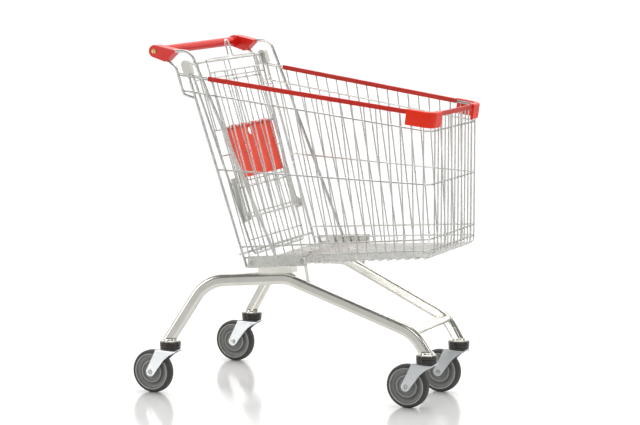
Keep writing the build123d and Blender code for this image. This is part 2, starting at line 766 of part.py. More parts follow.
def handle_bracket(side, rods):
    centre = (handle_x, handle_z)
    front = (handle_x + bracket_reach, handle_z + bracket_front_rise)
    heel = (handle_x + bracket_heel_reach, handle_z - bracket_heel_drop)
    outline = [tangent_point(front, centre, bracket_radius, 1), front, heel,
               tangent_point(heel, centre, bracket_radius, -1)]
    thickness = bracket_outer_y - bracket_inner_y
    y = side * bracket_inner_y
    body = slab([(x, y, z) for x, z in outline], thickness, (0, side, 0))
    frame = Plane(origin=(handle_x, y, handle_z), z_dir=(0, side, 0))
    body += frame * Pos(0, 0, thickness / 2) * Cylinder(bracket_radius, thickness)
    corners = body.edges().filter_by(Axis.Y).sort_by(Axis.X)[-2:]
    body = fillet(corners, bracket_edge_radius)
    step_y = bracket_inner_y
    for radius, length in collar_steps:
        neck = Plane(origin=(handle_x, side * (step_y - length / 2), handle_z), z_dir=(0, 1, 0))
        body += neck * Cylinder(radius, length)
        step_y -= length
    body -= Plane(origin=(handle_x, 0, handle_z), z_dir=(0, 1, 0)) * Cylinder(
        handle_core_diameter / 2, 2 * (bracket_outer_y - bracket_end_wall)
    )
    for handle_rod in rods:
        body -= handle_rod
    return body


def handle_screw(side):
    frame = Plane(origin=(handle_x, side * bracket_outer_y, handle_z), z_dir=(0, side, 0))
    head = Pos(0, 0, screw_head_height / 2) * Cylinder(screw_head_radius, screw_head_height)
    slot = Pos(0, 0, screw_head_height) * Box(2 * screw_head_radius, screw_slot, 2 * screw_slot)
    shank = Pos(0, 0, -screw_shank / 2) * Cylinder(screw_head_radius / 2, screw_shank)
    return frame * (head - slot + shank)


def hinge_bracket(side, rods):
    """Plastic block on a corner rod's top end that the gate's hinge bar turns in."""
    frame = Plane(origin=(hinge_x, side * hinge_bracket_inner_y, hinge_z), z_dir=(0, side, 0))
    barrel = frame * Pos(0, 0, hinge_bracket_thickness / 2) * Cylinder(
        hinge_barrel_radius, hinge_bracket_thickness
    )
    centre_z = hinge_z - hinge_block_length / 2
    block = Pos(
        corner_rod_x(centre_z), side * (hinge_bracket_inner_y + hinge_bracket_thickness / 2), centre_z
    ) * Rot(0, -gate_lean, 0) * Box(
        hinge_block_width, hinge_bracket_thickness, hinge_block_length
    )
    bracket = barrel + block
    bracket -= frame * Cylinder(hinge_bar_diameter / 2 + running_gap, 2 * hinge_pocket_depth)
    for corner in rods:
        bracket -= corner
    return bracket


# ---- gate ----
def gate_side_rod(side):
    start, end = weld_depth, gate_length - gate_foot_rise
    return rod(on_gate(start, side * gate_half_width(start)), on_gate(end, side * gate_half_width(end)),
               gate_rod_diameter)


def gate_bottom_rod():
    above = gate_length - gate_foot_rise
    points = [
        on_gate(above, -gate_half_width(above)), on_gate(gate_length, -gate_half_width(gate_length)),
        on_gate(gate_length, gate_half_width(gate_length)), on_gate(above, gate_half_width(above)),
    ]
    return bent_rod(points, gate_corner_radius, gate_rod_diameter)


def gate_cross_wire(down):
    behind = -(ring_inset + wire_radius - ring_diameter / 2)
    return rod(on_gate(down, -gate_half_width(down), behind), on_gate(down, gate_half_width(down), behind),
               wire_diameter)


def gate_wires():
    """Upright wires: a close row under the leg openings, and the openings' own edges above."""
    wires = []
    count = int(gate_half_width(gate_length) / gate_wire_spacing)
    for i in range(-count, count + 1):
        y = i * gate_wire_spacing
        wires.append(rod(on_gate(leg_opening_foot, y), on_gate(gate_length, y), wire_diameter))
    for y in (-gate_wire_spacing / 2, gate_wire_spacing / 2):
        wires.append(rod(on_gate(0, y), on_gate(leg_opening_foot, y), wire_diameter))
    for side in (1, -1):
        y = side * (gate_half_width(leg_opening_foot) - leg_opening_inset)
        wires.append(rod(on_gate(0, y), on_gate(leg_opening_foot, y), wire_diameter))
    return wires


def pivot_strip(side, hole):
    """Plate on the gate that the seat back's pivot rod turns in."""
    rear = -(ring_inset - wire_radius)
    top = seat_pivot_drop - strip_length
    front = seat_offset + strip_ear
    outline = [(top, rear), (top, strip_depth), (seat_pivot_drop - 3 * strip_ear, strip_depth),
               (seat_pivot_drop - 1.5 * strip_ear, front), (seat_pivot_drop + strip_ear, front),
               (seat_pivot_drop + 1.5 * strip_ear, rear)]
    y = side * (strip_y - strip_sheet / 2)
    return slab([on_gate(down, y, out) for down, out in outline], strip_sheet, (0, side, 0)) - hole


# ---- child seat ----
seat_bar_offset = seat_offset - wire_radius - ring_diameter / 2 + weld_depth


def seat_pivot_rod(diameter):
    return rod(on_gate(seat_pivot_drop, -pivot_half_length, seat_offset),
               on_gate(seat_pivot_drop, pivot_half_length, seat_offset), diameter)


def pivot_cap(side):
    y = side * (strip_y + strip_sheet / 2 + 3 * running_gap)
    start = on_gate(seat_pivot_drop, y, seat_offset)
    return rod(start, start + Vector(0, side * pivot_cap_length, 0), pivot_cap_diameter)


def seat_side_rod(side):
    y = side * seat_half_width
    return rod(on_gate(seat_top_drop, y, seat_offset), on_gate(seat_pivot_drop, y, seat_offset),
               seat_rod_diameter)


def seat_cross_bar(down, forward, diameter):
    return rod(on_gate(down, -seat_half_width, forward), on_gate(down, seat_half_width, forward), diameter)


def seat_wire(y):
    return rod(on_gate(seat_top_drop, y, seat_offset), on_gate(seat_pivot_drop, y, seat_offset),
               wire_diameter)


def hook_wire():
    """Wire over the seat back's top bar, with a loop in the middle to pull it forward by."""
    base, shoulder, loop = seat_top_drop, seat_top_drop - hook_rise, seat_top_drop - hook_loop_rise
    half = hook_loop_width / 2
    points = [
        on_gate(base, -seat_half_width, seat_offset), on_gate(shoulder, -seat_half_width, seat_offset),
        on_gate(shoulder, -half - hook_spread, seat_offset), on_gate(loop, -half, seat_offset),
        on_gate(loop, half, seat_offset), on_gate(shoulder, half + hook_spread, seat_offset),
        on_gate(shoulder, seat_half_width, seat_offset), on_gate(base, seat_half_width, seat_offset),
    ]
    top_bend = hook_top_bend * hook_loop_width
    radii = [hook_bend, hook_foot_bend, top_bend, top_bend, hook_foot_bend, hook_bend]
    return bent_rod(points, radii, ring_diameter)


def seat_panel():
    """Plastic seat with knuckles that clip round the seat back's cross bar."""
    forward = seat_bar_offset - panel_setback
    top = leg_opening_foot - panel_top_rise
    foot = leg_opening_foot + panel_length
    top_half, foot_half = seat_half_width - panel_top_inset, seat_half_width - panel_foot_inset
    outline = [on_gate(top, -top_half, forward), on_gate(top, top_half, forward),
               on_gate(foot, foot_half, forward), on_gate(foot, -foot_half, forward)]
    normal = Vector(math.cos(lean), 0, math.sin(lean))
    plate = slab([point - normal * (panel_thickness / 2) for point in outline], panel_thickness, normal)
    corners = plate.edges().filter_by(lambda edge: abs((edge % 0).dot(normal)) > 0.99)
    plate = fillet(corners, panel_corner_radius)
    hole_down = leg_opening_foot + finger_hole_drop
    plate -= rod(on_gate(hole_down, 0, forward - panel_thickness),
                 on_gate(hole_down, 0, forward + panel_thickness), finger_hole_diameter)
    for y in (-1.5 * seat_wire_spacing, -0.5 * seat_wire_spacing, 0.5 * seat_wire_spacing,
              1.5 * seat_wire_spacing):
        start = on_gate(leg_opening_foot, y - knuckle_length / 2, seat_bar_offset)
        end = on_gate(leg_opening_foot, y + knuckle_length / 2, seat_bar_offset)
        plate += rod(start, end, ring_diameter + 2 * knuckle_wall)
    bar = seat_cross_bar(leg_opening_foot, seat_bar_offset, ring_diameter + 2 * running_gap)
    return plate - bar


# ---- build every node ----
os.makedirs("parts", exist_ok=True)

for name, (x, y) in CASTERS.items():
    save(f"{name}_fork", caster_fork(x, y))
    save(f"{name}_axle", caster_axle(x, y))
    save(f"{name}_tyre", caster_tyre(x, y))
    save(f"{name}_wheel", caster_wheel(x, y))
save("kingpins", *[kingpin(x, y) for x, y in CASTERS.values()])
save("swivel_collars", *[swivel_collar(x, y) for x, y in CASTERS.values()])
save("caster_sockets", *[socket(x, y) for x, y in CASTERS.values()])

for name, side in SIDES.items():
    save(f"chassis_tube_{name}", chassis_tube(side))
save("front_crossbar", front_crossbar())
save("support_pads", *[support_pad(side) for side in SIDES.values()])
save("crossmember", crossmember())
save("support_struts", *[support_strut(side) for side in SIDES.values()])

save("side_wires", *[
    piece for side in SIDES.values() for i in range(1, side_wire_count + 1)
    for piece in side_wire(i, side)
])
save("front_wires", *[piece for y in front_wire_ys() for piece in front_wire(y)])
save("floor_cross_wires", *[floor_cross_wire(i) for i in range(1, side_wire_count + 1)])
save("floor_long_wires", *[floor_long_wire(y) for y in front_wire_ys()])
save("ring_fronts", *[hoop_front(z, slope, ring_inset, ring_diameter) for z, slope, _ in rings()])
save("ring_sides", *[
    hoop_side(rear, z, slope, side, ring_inset, ring_diameter)
    for z, slope, rear in rings() for side in SIDES.values()
])
rim_levels = (rim_wire_spacing / 2, -rim_wire_spacing / 2)
save("rim_fronts", *[
    hoop_front(rim_front_z + level, rim_slope, 0, rim_wire_diameter) for level in rim_levels
])
save("rim_sides", *[
    hoop_side(lower_rod_x(rim_rear_z), rim_front_z + level, rim_slope, side, 0, rim_wire_diameter)
    for level in rim_levels for side in SIDES.values()
])
corner_rods = [corner_rod(side) for side in SIDES.values()]
save("corner_rods", *corner_rods)
save("rear_cross_rods", rear_cross_rod(0, 0),
     rear_cross_rod(stop_wire_rise, corner_rod_diameter + 1.5))

save("side_plates", *[side_plate(side) for side in SIDES.values()])
save("plate_bolts", *[
    plate_bolt(side, x) for side in SIDES.values()
    for x in (plate_rear_x + 14, plate_rear_x + plate_length - 14)
])

save("rim_profile_sides", *[side_profile(side) for side in SIDES.values()])
save("rim_profile_front", front_profile())
save("corner_bumpers", *[bumper(side) for side in SIDES.values()])

upper_rods = [upper_handle_rod(side) for side in SIDES.values()]
lower_rods = [lower_handle_rod(side) for side in SIDES.values()]
save("upper_handle_rods", *upper_rods)
save("lower_handle_rods", *lower_rods)
save("handle_core", handle_core())
save("handle_grip", handle_grip())
save("handle_brackets", *[
    handle_bracket(side, pair) for side, *pair in zip(SIDES.values(), upper_rods, lower_rods)
])
save("handle_screws", *[handle_screw(side) for side in SIDES.values()])
save("hinge_brackets", *[
    hinge_bracket(side, [pair]) for side, pair in zip(SIDES.values(), corner_rods)
])

bar_reach = hinge_bracket_inner_y + hinge_bar_engagement
save("gate_hinge_bar", rod((hinge_x, -bar_reach, hinge_z), (hinge_x, bar_reach, hinge_z),
                           hinge_bar_diameter))
save("gate_side_rods", *[gate_side_rod(side) for side in SIDES.values()])
save("gate_bottom_rod", gate_bottom_rod())
below_opening = gate_length - leg_opening_foot
save("gate_cross_wires", gate_cross_wire(leg_opening_top), gate_cross_wire(leg_opening_foot), *[
    gate_cross_wire(leg_opening_foot + share * below_opening) for share in gate_cross_shares
])
save("gate_wires", *gate_wires())
pivot_hole = seat_pivot_rod(pivot_rod_diameter + 2 * running_gap)
save("seat_pivot_strips", *[pivot_strip(side, pivot_hole) for side in SIDES.values()])

save("seat_pivot_rod", seat_pivot_rod(pivot_rod_diameter) + pivot_cap(1) + pivot_cap(-1))
save("seat_side_rods", *[seat_side_rod(side) for side in SIDES.values()])
save("seat_cross_bars", seat_cross_bar(seat_top_drop, seat_offset, seat_rod_diameter), *[
    seat_cross_bar(down, seat_bar_offset, ring_diameter)
    for down in (seat_top_drop + seat_bar_gap, leg_opening_foot,
                 leg_opening_foot + panel_length + seat_bar_gap)
])
save("seat_wires", *[seat_wire(i * seat_wire_spacing) for i in range(-2, 3)])
save("seat_hook_wire", hook_wire())
save("seat_panel", seat_panel())
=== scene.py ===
import bmesh
import bpy
import json
import math
import numpy as np
import random
from mathutils import Matrix, Vector

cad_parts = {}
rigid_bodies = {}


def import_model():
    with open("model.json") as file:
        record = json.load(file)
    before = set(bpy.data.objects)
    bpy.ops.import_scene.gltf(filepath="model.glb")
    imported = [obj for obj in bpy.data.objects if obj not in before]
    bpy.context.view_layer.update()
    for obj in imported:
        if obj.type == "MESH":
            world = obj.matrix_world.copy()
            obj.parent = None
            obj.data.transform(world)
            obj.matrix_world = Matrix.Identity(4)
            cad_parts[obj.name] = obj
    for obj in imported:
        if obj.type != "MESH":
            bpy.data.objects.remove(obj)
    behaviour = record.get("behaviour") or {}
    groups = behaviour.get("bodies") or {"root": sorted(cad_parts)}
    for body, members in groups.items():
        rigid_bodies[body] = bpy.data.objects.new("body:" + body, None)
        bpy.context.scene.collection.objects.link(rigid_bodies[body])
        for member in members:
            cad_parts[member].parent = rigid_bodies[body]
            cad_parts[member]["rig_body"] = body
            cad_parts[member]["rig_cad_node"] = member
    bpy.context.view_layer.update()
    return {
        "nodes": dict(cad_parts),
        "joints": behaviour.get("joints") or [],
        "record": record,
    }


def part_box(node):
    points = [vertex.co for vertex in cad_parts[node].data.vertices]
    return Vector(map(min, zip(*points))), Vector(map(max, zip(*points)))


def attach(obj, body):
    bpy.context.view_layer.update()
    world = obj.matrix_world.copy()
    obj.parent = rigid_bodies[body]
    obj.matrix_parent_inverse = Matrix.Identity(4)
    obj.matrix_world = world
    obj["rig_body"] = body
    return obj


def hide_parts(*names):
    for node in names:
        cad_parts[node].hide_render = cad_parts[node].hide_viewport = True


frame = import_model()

# Looks for a wire shopping trolley. Metres, in the frame's axes: +X front, +Y left, +Z up.
NODES = frame["nodes"]
MM = 0.001
CASTERS = ("rear_left", "rear_right", "front_left", "front_right")
SHARP_EDGE = 35        # degrees between faces, from which an edge isn't smoothed
FLAT_FACES = 0.5       # degrees, under which neighbouring faces are one
WELD_SQUASH = 0.62     # height of a weld bead, of its wire's radius
PARALLEL = 0.9         # cosine, over which two wires run side by side instead of crossing


def body_of(node):
    return NODES[node]["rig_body"]


# ---- materials ----
class Shader:
    """A material's node tree, with short calls for the nodes that the finishes share."""

    def __init__(self, name, **sockets):
        self.material = bpy.data.materials.new(name)
        self.material.use_nodes = True
        self.tree = self.material.node_tree
        self.bsdf = self.tree.nodes["Principled BSDF"]
        for socket, value in sockets.items():
            self.bsdf.inputs[socket.replace("_", " ")].default_value = value
        self.coords = self.tree.nodes.new("ShaderNodeTexCoord").outputs["Object"]

    def link(self, output, node, socket):
        self.tree.links.new(output, node.inputs[socket])

    def noise(self, scale, detail=3.0, roughness=0.55):
        node = self.tree.nodes.new("ShaderNodeTexNoise")
        node.inputs["Scale"].default_value = scale
        node.inputs["Detail"].default_value = detail
        node.inputs["Roughness"].default_value = roughness
        self.link(self.coords, node, "Vector")
        return node.outputs["Fac"]

    def remap(self, value, low, high, from_low=0.3, from_high=0.7):
        node = self.tree.nodes.new("ShaderNodeMapRange")
        node.inputs["From Min"].default_value = from_low
        node.inputs["From Max"].default_value = from_high
        node.inputs["To Min"].default_value = low
        node.inputs["To Max"].default_value = high
        self.link(value, node, "Value")
        return node.outputs["Result"]

    def tint(self, value, low, high, from_low=0.3, from_high=0.7):
        """A colour that goes from low to high with a value."""
        ramp = self.tree.nodes.new("ShaderNodeValToRGB")
        ramp.color_ramp.elements[0].position = from_low
        ramp.color_ramp.elements[0].color = (*low, 1)
        ramp.color_ramp.elements[1].position = from_high
        ramp.color_ramp.elements[1].color = (*high, 1)
        self.link(value, ramp, "Fac")
        return ramp.outputs["Color"]

    def colour(self, output):
        self.link(output, self.bsdf, "Base Color")

    def rough(self, output):
        self.link(output, self.bsdf, "Roughness")

    def bump(self, value, strength, distance):
        node = self.tree.nodes.new("ShaderNodeBump")
        node.inputs["Strength"].default_value = strength
        node.inputs["Distance"].default_value = distance
        previous = self.bsdf.inputs["Normal"].links
        if previous:
            self.link(previous[0].from_socket, node, "Normal")
        self.link(value, node, "Height")
        self.link(node.outputs["Normal"], self.bsdf, "Normal")


def bright_zinc(name, low, high, rough_low, rough_high, grain):
    """Zinc-plated steel: a faintly cloudy plate over fine drawing lines."""
    shader = Shader(name, Metallic=1.0)
    shader.colour(shader.tint(shader.noise(26, 3, 0.5), low, high))
    shader.rough(shader.remap(shader.noise(70, 3, 0.5), rough_low, rough_high))
    shader.bump(shader.noise(grain, 2, 0.5), 0.03, 0.0001)
    return shader.material


def moulded(name, low, high, rough_low, rough_high, grain=2600, grain_strength=0.12, **sockets):
    """Moulded plastic: a fine spark-eroded grain with slight colour drift and rub marks."""
    shader = Shader(name, **sockets)
    shader.colour(shader.tint(shader.noise(14, 4, 0.6), low, high))
    shader.rough(shader.remap(shader.noise(60, 5, 0.7), rough_low, rough_high))
    shader.bump(shader.noise(grain, 2, 0.5), grain_strength, 0.0002)
    shader.bump(shader.noise(30, 2, 0.5), 0.04, 0.001)
    return shader.material


# Greys of the wheel centre outwards from its axle, with painted light: hub, pale hub ring (painted
# highlight), dark groove (painted shade), web and pale rim ring (painted highlight).
WHEEL_GREYS_AND_PAINTED_LIGHT = ((0, 0.26), (26, 0.20), (28.5, 0.32), (31.5, 0.32), (33.5, 0.10), (39, 0.15),
                (45, 0.26), (47.5, 0.27), (48.6, 0.14), (50, 0.46), (53, 0.46))
WHEEL_REACH = 60


def wheel_grey(name, axle):
    """Moulded grey nylon, with painted shade in its groove and painted highlights on its rings."""
    shader = Shader(name)
    local = shader.tree.nodes.new("ShaderNodeMapping")
    local.inputs["Location"].default_value = (-axle.x, 0, -axle.z)
    local.inputs["Scale"].default_value = (1, 0, 1)
    shader.link(shader.coords, local, "Vector")
    length = shader.tree.nodes.new("ShaderNodeVectorMath")
    length.operation = "LENGTH"
    shader.link(local.outputs["Vector"], length, 0)
    blur = shader.tree.nodes.new("ShaderNodeMath")
    blur.operation = "ADD"
    shader.link(length.outputs["Value"], blur, 0)
    shader.link(shader.remap(shader.noise(90, 4, 0.6), -0.0008, 0.0008), blur, 1)
    # This ramp paints shade into the wheel's groove and highlights onto its hub and rim rings, by distance
    # from the axle.
    ramp = shader.tree.nodes.new("ShaderNodeValToRGB")
    for i, (radius, shade) in enumerate(WHEEL_GREYS_AND_PAINTED_LIGHT):
        stops = ramp.color_ramp.elements
        stop = stops[i] if i < 2 else stops.new(radius / WHEEL_REACH)
        stop.position = radius / WHEEL_REACH
        stop.color = (shade, shade * 1.01, shade * 0.97, 1)
    shader.link(shader.remap(blur.outputs["Value"], 0, 1, 0, WHEEL_REACH * MM), ramp, "Fac")
    shader.colour(ramp.outputs["Color"])
    shader.rough(shader.remap(shader.noise(60, 5, 0.7), 0.34, 0.48))
    shader.bump(shader.noise(2600, 2, 0.5), 0.1, 0.0002)
    return shader.material


WIRE = bright_zinc("wire_zinc", (0.57, 0.57, 0.55), (0.65, 0.65, 0.63), 0.26, 0.32, 900)
TUBE = bright_zinc("tube_zinc", (0.67, 0.66, 0.61), (0.73, 0.72, 0.67), 0.20, 0.26, 700)
PRESSING = bright_zinc("pressed_zinc", (0.60, 0.63, 0.65), (0.68, 0.71, 0.73), 0.30, 0.38, 500)
PLATE = bright_zinc("plate_zinc", (0.64, 0.64, 0.61), (0.72, 0.72, 0.69), 0.24, 0.34, 500)
FASTENER = bright_zinc("fastener_zinc", (0.48, 0.48, 0.46), (0.60, 0.60, 0.58), 0.22, 0.34, 900)
WELD = bright_zinc("weld_zinc", (0.50, 0.50, 0.48), (0.60, 0.60, 0.58), 0.30, 0.40, 1200)
BRASS = bright_zinc("screw_brass", (0.34, 0.23, 0.09), (0.46, 0.33, 0.15), 0.30, 0.42, 1100)
SATIN = {"Specular_IOR_Level": 0.25}
HANDLE_RED = moulded("handle_red", (0.66, 0.010, 0.005), (0.72, 0.016, 0.008), 0.26, 0.34, **SATIN)
RIM_RED = moulded("rim_red", (0.52, 0.020, 0.012), (0.60, 0.028, 0.016), 0.36, 0.46, **SATIN)
BUMPER_RED = moulded("bumper_red", (0.80, 0.026, 0.006), (0.86, 0.036, 0.010), 0.30, 0.38, **SATIN)
SEAT_RED = moulded("seat_red", (0.90, 0.060, 0.026), (0.95, 0.076, 0.034), 0.34, 0.44, **SATIN)
HINGE_GREY = moulded("hinge_grey", (0.58, 0.58, 0.54), (0.66, 0.66, 0.62), 0.34, 0.44)
COLLAR_BLACK = moulded("collar_black", (0.022, 0.019, 0.016), (0.034, 0.029, 0.025), 0.22, 0.32)
TYRE_GREY = moulded("tyre_grey", (0.038, 0.035, 0.032), (0.056, 0.052, 0.048), 0.48, 0.62, 1400, 0.2)

FINISHES = {
    "chassis_steel": TUBE, "basket_wire": WIRE, "rim_red": RIM_RED, "handle_red": HANDLE_RED,
    "seat_red": SEAT_RED, "hinge_grey": HINGE_GREY, "collar_black": COLLAR_BLACK,
    "fork_zinc": PRESSING, "tyre_grey": TYRE_GREY,
    "fastener_zinc": FASTENER, "brass_screw": BRASS,
}
SLOTS = {row["node"]: row["material_slot"] for row in frame["record"]["subparts"]}


def keep(node, edge, material=None, merge_flat=True):
    """Show a CAD node as it is, with its finish, smooth sides and softened edges."""
    obj = NODES[node]
    obj.data.materials.clear()
    obj.data.materials.append(material or FINISHES[SLOTS[node]])
    for face in obj.data.polygons:
        face.use_smooth = True
    obj.data.set_sharp_from_angle(angle=math.radians(SHARP_EDGE))
    bevel(obj, edge, 2, 40, merge_flat)


# ---- floor, light and camera ----
def make_floor():
    """A wide pale floor with a slight gloss."""
    reach, cells = 40, 40
    bm = bmesh.new()
    bmesh.ops.create_grid(bm, x_segments=cells, y_segments=cells, size=reach)
    mesh = bpy.data.meshes.new("floor")
    bm.to_mesh(mesh)
    bm.free()
    floor = bpy.data.objects.new("floor", mesh)
    bpy.context.scene.collection.objects.link(floor)
    shader = Shader("floor_white", IOR=1.45)
    shader.colour(shader.tint(shader.noise(0.8, 3), (0.95, 0.95, 0.95), (0.955, 0.955, 0.955)))
    shader.rough(shader.remap(shader.noise(3, 3), 0.12, 0.16))
    mesh.materials.append(shader.material)


def area_light(name, place, aim, size, power, colour=(1, 1, 1)):
    data = bpy.data.lights.new(name, "AREA")
    data.shape = "RECTANGLE"
    data.size, data.size_y = size
    data.energy = power
    data.color = colour
    lamp = bpy.data.objects.new(name, data)
    lamp.location = place
    lamp.rotation_euler = (Vector(aim) - Vector(place)).to_track_quat("-Z", "Y").to_euler()
    bpy.context.scene.collection.objects.link(lamp)


# The camera stands far off with a long lens, a little above the rim, at the front right.
AZIMUTH = math.radians(25.95)
ELEVATION = math.radians(8.09)
DISTANCE = 6.760
AIM = Vector((0.0223, 0, 0.5179))
LENS = 131.76


def make_camera():
    data = bpy.data.cameras.new("camera")
    data.lens = LENS
    data.sensor_width = 36
    data.clip_end = 100
    camera = bpy.data.objects.new("camera", data)
    flat = math.cos(ELEVATION)
    back = Vector((math.sin(AZIMUTH) * flat, -math.cos(AZIMUTH) * flat, math.sin(ELEVATION)))
    camera.location = AIM + back * DISTANCE
    camera.rotation_euler = (-back).to_track_quat("-Z", "Y").to_euler()
    bpy.context.scene.collection.objects.link(camera)
    bpy.context.scene.camera = camera


def make_light():
    """A world that is white behind the object and dim behind the camera, with four soft boxes."""
    world = bpy.data.worlds.new("studio")
    world.use_nodes = True
    tree = world.node_tree
    background = tree.nodes["Background"]
    coords = tree.nodes.new("ShaderNodeTexCoord").outputs["Generated"]
    facing = tree.nodes.new("ShaderNodeVectorMath")
    facing.operation = "DOT_PRODUCT"
    facing.inputs[1].default_value = (-math.sin(AZIMUTH), math.cos(AZIMUTH), -0.35)
    tree.links.new(coords, facing.inputs[0])
    ramp = tree.nodes.new("ShaderNodeValToRGB")
    shades = ((0.0, 0.08), (0.42, 0.16), (0.58, 0.46), (0.74, 1.0))
    for i, (place, shade) in enumerate(shades):
        stops = ramp.color_ramp.elements
        stop = stops[i] if i < 2 else stops.new(place)
        stop.position = place
        stop.color = (shade, shade, shade * 0.99, 1)
    scaled = tree.nodes.new("ShaderNodeMapRange")
    scaled.inputs["From Min"].default_value = -1.06
    scaled.inputs["From Max"].default_value = 1.06
    tree.links.new(facing.outputs["Value"], scaled.inputs["Value"])
    tree.links.new(scaled.outputs["Result"], ramp.inputs["Fac"])
    tree.links.new(ramp.outputs["Color"], background.inputs["Color"])
    background.inputs["Strength"].default_value = 1.6
    bpy.context.scene.world = world
    area_light("top_box", (0.2, 0.3, 3.4), (0, 0, 0.4), (3.4, 2.4), 75)
    area_light("left_box", (-2.6, -3.4, 1.5), (0, 0, 0.4), (1.3, 2.4), 50, (1.0, 0.985, 0.95))
    area_light("front_box", (2.6, -4.6, 2.2), (0, 0, 0.5), (1.6, 1.2), 26)
    area_light("right_box", (3.9, -0.6, 1.4), (0, 0, 0.6), (0.8, 2.2), 22)
    bpy.context.scene.view_settings.view_transform = "Standard"


# ---- geometry helpers ----
def new_piece(name, mesh, material, node=None, body=None, smooth=SHARP_EDGE):
    """Wrap a mesh as a visible piece that stands for a CAD node, or rides on a body."""
    for face in mesh.polygons:
        face.use_smooth = True
    mesh.set_sharp_from_angle(angle=math.radians(smooth))
    mesh.materials.append(material)
    obj = bpy.data.objects.new(name, mesh)
    bpy.context.scene.collection.objects.link(obj)
    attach(obj, body or body_of(node))
    if node:
        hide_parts(node)
    return obj


def mesh_from(bm, name):
    bmesh.ops.recalc_face_normals(bm, faces=bm.faces)
    mesh = bpy.data.meshes.new(name)
    bm.to_mesh(mesh)
    bm.free()
    return mesh


def rounded(points, radii, steps=5):
    """A closed outline with its corners rounded; radii is one value or one per corner."""
    if not isinstance(radii, (list, tuple)):
        radii = [radii] * len(points)
    out = []
    count = len(points)
    for i, radius in enumerate(radii):
        here = Vector(points[i])
        before, after = Vector(points[i - 1]), Vector(points[(i + 1) % count])
        to_before, to_after = (before - here).normalized(), (after - here).normalized()
        angle = to_before.angle(to_after)
        if radius <= 0 or angle > math.pi - 0.02:
            out.append(here)
            continue
        reach = radius / math.tan(angle / 2)
        reach = min(reach, 0.49 * (before - here).length, 0.49 * (after - here).length)
        radius = reach * math.tan(angle / 2)
        centre = here + (to_before + to_after).normalized() * (radius / math.sin(angle / 2))
        start, end = here + to_before * reach - centre, here + to_after * reach - centre
        swing = start.angle_signed(end) if len(start) == 2 else 0
        for k in range(steps + 1):
            turn = -swing * k / steps
            cosine, sine = math.cos(turn), math.sin(turn)
            out.append(centre + Vector((start.x * cosine - start.y * sine,
                                        start.x * sine + start.y * cosine)))
    return out


def lathe(bm, profile, centre, axis, sides=72):
    """Turn a closed (radius, along) outline about an axis."""
    axis = Vector(axis).normalized()
    across = axis.orthogonal().normalized()
    up = axis.cross(across)
    rings = []
    for i in range(sides):
        angle = 2 * math.pi * i / sides
        out = across * math.cos(angle) + up * math.sin(angle)
        rings.append([bm.verts.new(centre + out * r + axis * a) for r, a in profile])
    count = len(profile)
    for i in range(sides):
        here, there = rings[i], rings[(i + 1) % sides]
        for k in range(count):
            m = (k + 1) % count
            bm.faces.new((here[k], here[m], there[m], there[k]))


def loft(bm, frames, section, closed=False):
    """Carry a closed outline along frames, each an origin with the outline's two axes."""
    rows = [[bm.verts.new(origin + x * p[0] + y * p[1]) for p in section] for origin, x, y in frames]
    count = len(section)
    for a, b in zip(rows, rows[1:] + (rows[:1] if closed else [])):
        for k in range(count):
            m = (k + 1) % count
            bm.faces.new((a[k], a[m], b[m], b[k]))
    if not closed:
        bm.faces.new(rows[0])
        bm.faces.new(list(reversed(rows[-1])))


def prism(bm, outline, low, high):
    """A flat outline of points carried from low to high."""
    a = [bm.verts.new(p + low) for p in outline]
    b = [bm.verts.new(p + high) for p in outline]
    count = len(outline)
    for k in range(count):
        m = (k + 1) % count
        bm.faces.new((a[k], a[m], b[m], b[k]))
    bm.faces.new(a)
    bm.faces.new(list(reversed(b)))


def bevel(obj, width, segments=2, angle=40, merge_flat=False):
    if merge_flat:
        flat = obj.modifiers.new("flat", "DECIMATE")
        flat.decimate_type = "DISSOLVE"
        flat.angle_limit = math.radians(FLAT_FACES)
    edge = obj.modifiers.new("edges", "BEVEL")
    edge.width = width
    edge.segments = segments
    edge.limit_method = "ANGLE"
    edge.angle_limit = math.radians(angle)
    edge.harden_normals = True


def common_part(first, second, name):
    """The mesh that two closed meshes share."""
    objects = []
    for mesh in (first, second):
        obj = bpy.data.objects.new(name, mesh)
        bpy.context.scene.collection.objects.link(obj)
        objects.append(obj)
    cut = objects[0].modifiers.new("cut", "BOOLEAN")
    cut.operation = "INTERSECT"
    cut.solver = "EXACT"
    cut.object = objects[1]
    graph = bpy.context.evaluated_depsgraph_get()
    result = bpy.data.meshes.new_from_object(objects[0].evaluated_get(graph))
    for obj in objects:
        bpy.data.objects.remove(obj)
    return result


# ---- centrelines of the wires ----
def solids_of(node):
    """The separate solids of a CAD node, as lists of joined vertices of one bmesh."""
    bm = bmesh.new()
    bm.from_mesh(NODES[node].data)
    bmesh.ops.remove_doubles(bm, verts=bm.verts, dist=0.00001)
    bm.verts.index_update()
    seen, solids = set(), []
    for start in bm.verts:
        if start in seen:
            continue
        seen.add(start)
        solid, stack = [], [start]
        while stack:
            vert = stack.pop()
            solid.append(vert)
            for edge in vert.link_edges:
                other = edge.other_vert(vert)
                if other not in seen:
                    seen.add(other)
                    stack.append(other)
        solids.append(solid)
    return bm, solids


def centreline(solid):
    """Middle points and radius of a round rod, walked ring by ring from one flat end.

    Sets of vertices come in no fixed order, so each is sorted wherever its order counts."""
    ends = {v for v in solid if any(e.calc_face_angle(0) > 1.0 for e in v.link_edges)}
    start = min(ends, key=lambda v: v.index)
    ring, stack = {start}, [start]
    while stack:
        for edge in stack.pop().link_edges:
            for v in edge.verts:
                if v in ends and v not in ring and edge.calc_face_angle(0) > 1.0:
                    ring.add(v)
                    stack.append(v)
    points, seen = [], set(ring)
    radius = None
    while ring:
        row = sorted(ring, key=lambda v: v.index)
        middle = sum((v.co for v in row), Vector()) / len(row)
        if radius is None:
            radius = sum((v.co - middle).length for v in row) / len(row)
        points.append(middle)
        ring = {e.other_vert(v) for v in ring for e in v.link_edges} - seen
        seen |= ring
    return points, radius


